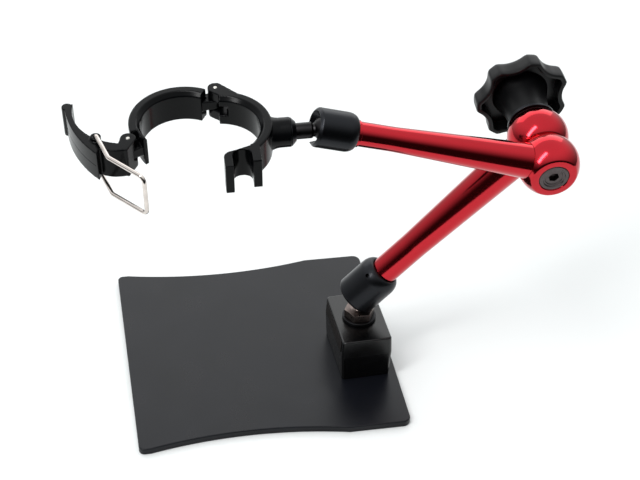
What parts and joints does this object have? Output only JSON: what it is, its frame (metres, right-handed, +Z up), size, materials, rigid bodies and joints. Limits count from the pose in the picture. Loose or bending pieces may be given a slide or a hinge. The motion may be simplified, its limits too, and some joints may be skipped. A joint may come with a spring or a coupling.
{
  "type": "airbrush holder stand",
  "caption": "Weighted plate with a two-part articulated arm, one central locking knob and a hinged ring clamp with toggle lever and wire bail, for holding an airbrush.",
  "frame": {"origin": "centre of the plate's underside", "axes": "+Z up out of the plate; +X from the ring clamp's side of the plate towards the elbow; -Y towards the side the elbow bolt's head faces"},
  "size_m": [0.2675, 0.1668, 0.1993],
  "materials": {
    "plate_steel": "satin dark blue-grey enamel",
    "block_black": "satin black",
    "label_film": "thin blank film",
    "screw_steel": "zinc plated",
    "washer_black": "dark satin",
    "stud_steel": "turned, slightly brown",
    "pad_nylon": "natural nylon",
    "nut_black": "black anodised, satin",
    "red_anodised": "glossy red anodised",
    "rod_steel": "ground",
    "bolt_black": "black oxide",
    "knob_black": "matte moulded",
    "insert_brass": "turned",
    "clamp_black": "glossy moulded",
    "pin_steel": "ground",
    "wire_nickel": "nickel plated wire"
  },
  "bodies": {
    "base": {"base_plate": "plate_steel", "block_body": "block_black", "block_label": "label_film", "block_screws": "screw_steel", "lower_ball_stud": "stud_steel"},
    "lower_swivel": {"stud_washer": "washer_black"},
    "lower_tilt": {"lower_thrust_pad": "pad_nylon"},
    "lower_arm": {"lower_nut": "nut_black", "lower_tube": "red_anodised", "lower_push_rod": "rod_steel", "lower_elbow_ball": "red_anodised", "knob_collar": "nut_black"},
    "upper_arm": {"upper_elbow_ball": "red_anodised", "central_bolt": "bolt_black", "lock_wedge": "rod_steel", "upper_tube": "red_anodised", "upper_push_rod": "rod_steel", "upper_nut": "nut_black"},
    "knob": {"knob": "knob_black", "knob_insert": "insert_brass"},
    "upper_roll": {"upper_thrust_pad": "pad_nylon"},
    "upper_tilt": {"hub_jam_nut": "nut_black"},
    "ring": {"fixed_jaw": "clamp_black", "upper_ball_stud": "bolt_black", "jaw_hinge_pin": "pin_steel"},
    "swing_jaw": {"swing_jaw": "clamp_black", "lever_hinge_pin": "pin_steel"},
    "lever": {"lever": "clamp_black"},
    "bail": {"bail_wire": "wire_nickel"}
  },
  "joints": [
    {"name": "lower_swivel", "type": "hinge", "parent": "base", "child": "lower_swivel", "pos_m": [0.056, -0.0155, 0.05], "axis": [0, 0, 1], "continuous": true},
    {"name": "lower_tilt", "type": "hinge", "parent": "lower_swivel", "child": "lower_tilt", "pos_m": [0.056, -0.0155, 0.05], "axis": [0.1708, 0.9853, 0], "range_deg": [-45, 1]},
    {"name": "lower_roll", "type": "hinge", "parent": "lower_tilt", "child": "lower_arm", "pos_m": [0.056, -0.0155, 0.05], "axis": [0.6307, -0.1093, 0.7683], "range_deg": [-110, 75]},
    {"name": "elbow_fold", "type": "hinge", "parent": "lower_arm", "child": "upper_arm", "pos_m": [0.14266, -0.04077, 0.15411], "axis": [0, -0.99, -0.1409], "range_deg": [-200, 18]},
    {"name": "knob_turn", "type": "hinge", "parent": "upper_arm", "child": "knob", "pos_m": [0.14266, -0.03052, 0.15557], "axis": [0, -0.99, -0.1409], "range_deg": [-180, 60]},
    {"name": "upper_roll", "type": "hinge", "parent": "upper_arm", "child": "upper_roll", "pos_m": [0.02503, -0.05609, 0.18825], "axis": [0.9563, 0.0412, -0.2895], "continuous": true},
    {"name": "upper_tilt", "type": "hinge", "parent": "upper_roll", "child": "upper_tilt", "pos_m": [0.02503, -0.05609, 0.18825], "axis": [-0.031, -0.9701, -0.2406], "range_deg": [-47, 8]},
    {"name": "upper_spin", "type": "hinge", "parent": "upper_tilt", "child": "ring", "pos_m": [0.02503, -0.05609, 0.18825], "axis": [0.9985, -0.0412, 0.0372], "continuous": true},
    {"name": "jaw_swing", "type": "hinge", "parent": "ring", "child": "swing_jaw", "pos_m": [-0.02488, -0.02549, 0.18935], "axis": [-0.0412, -0.1029, 0.9938], "range_deg": [-40, 34.2]},
    {"name": "lever_swing", "type": "hinge", "parent": "swing_jaw", "child": "lever", "pos_m": [-0.07024, -0.05654, 0.18425], "axis": [-0.0412, -0.1029, 0.9938], "range_deg": [-66, 25]},
    {"name": "bail_swing", "type": "hinge", "parent": "lever", "child": "bail", "pos_m": [-0.08519, -0.05451, 0.18384], "axis": [-0.0412, -0.1029, 0.9938], "range_deg": [-50, 60]}
  ]
}
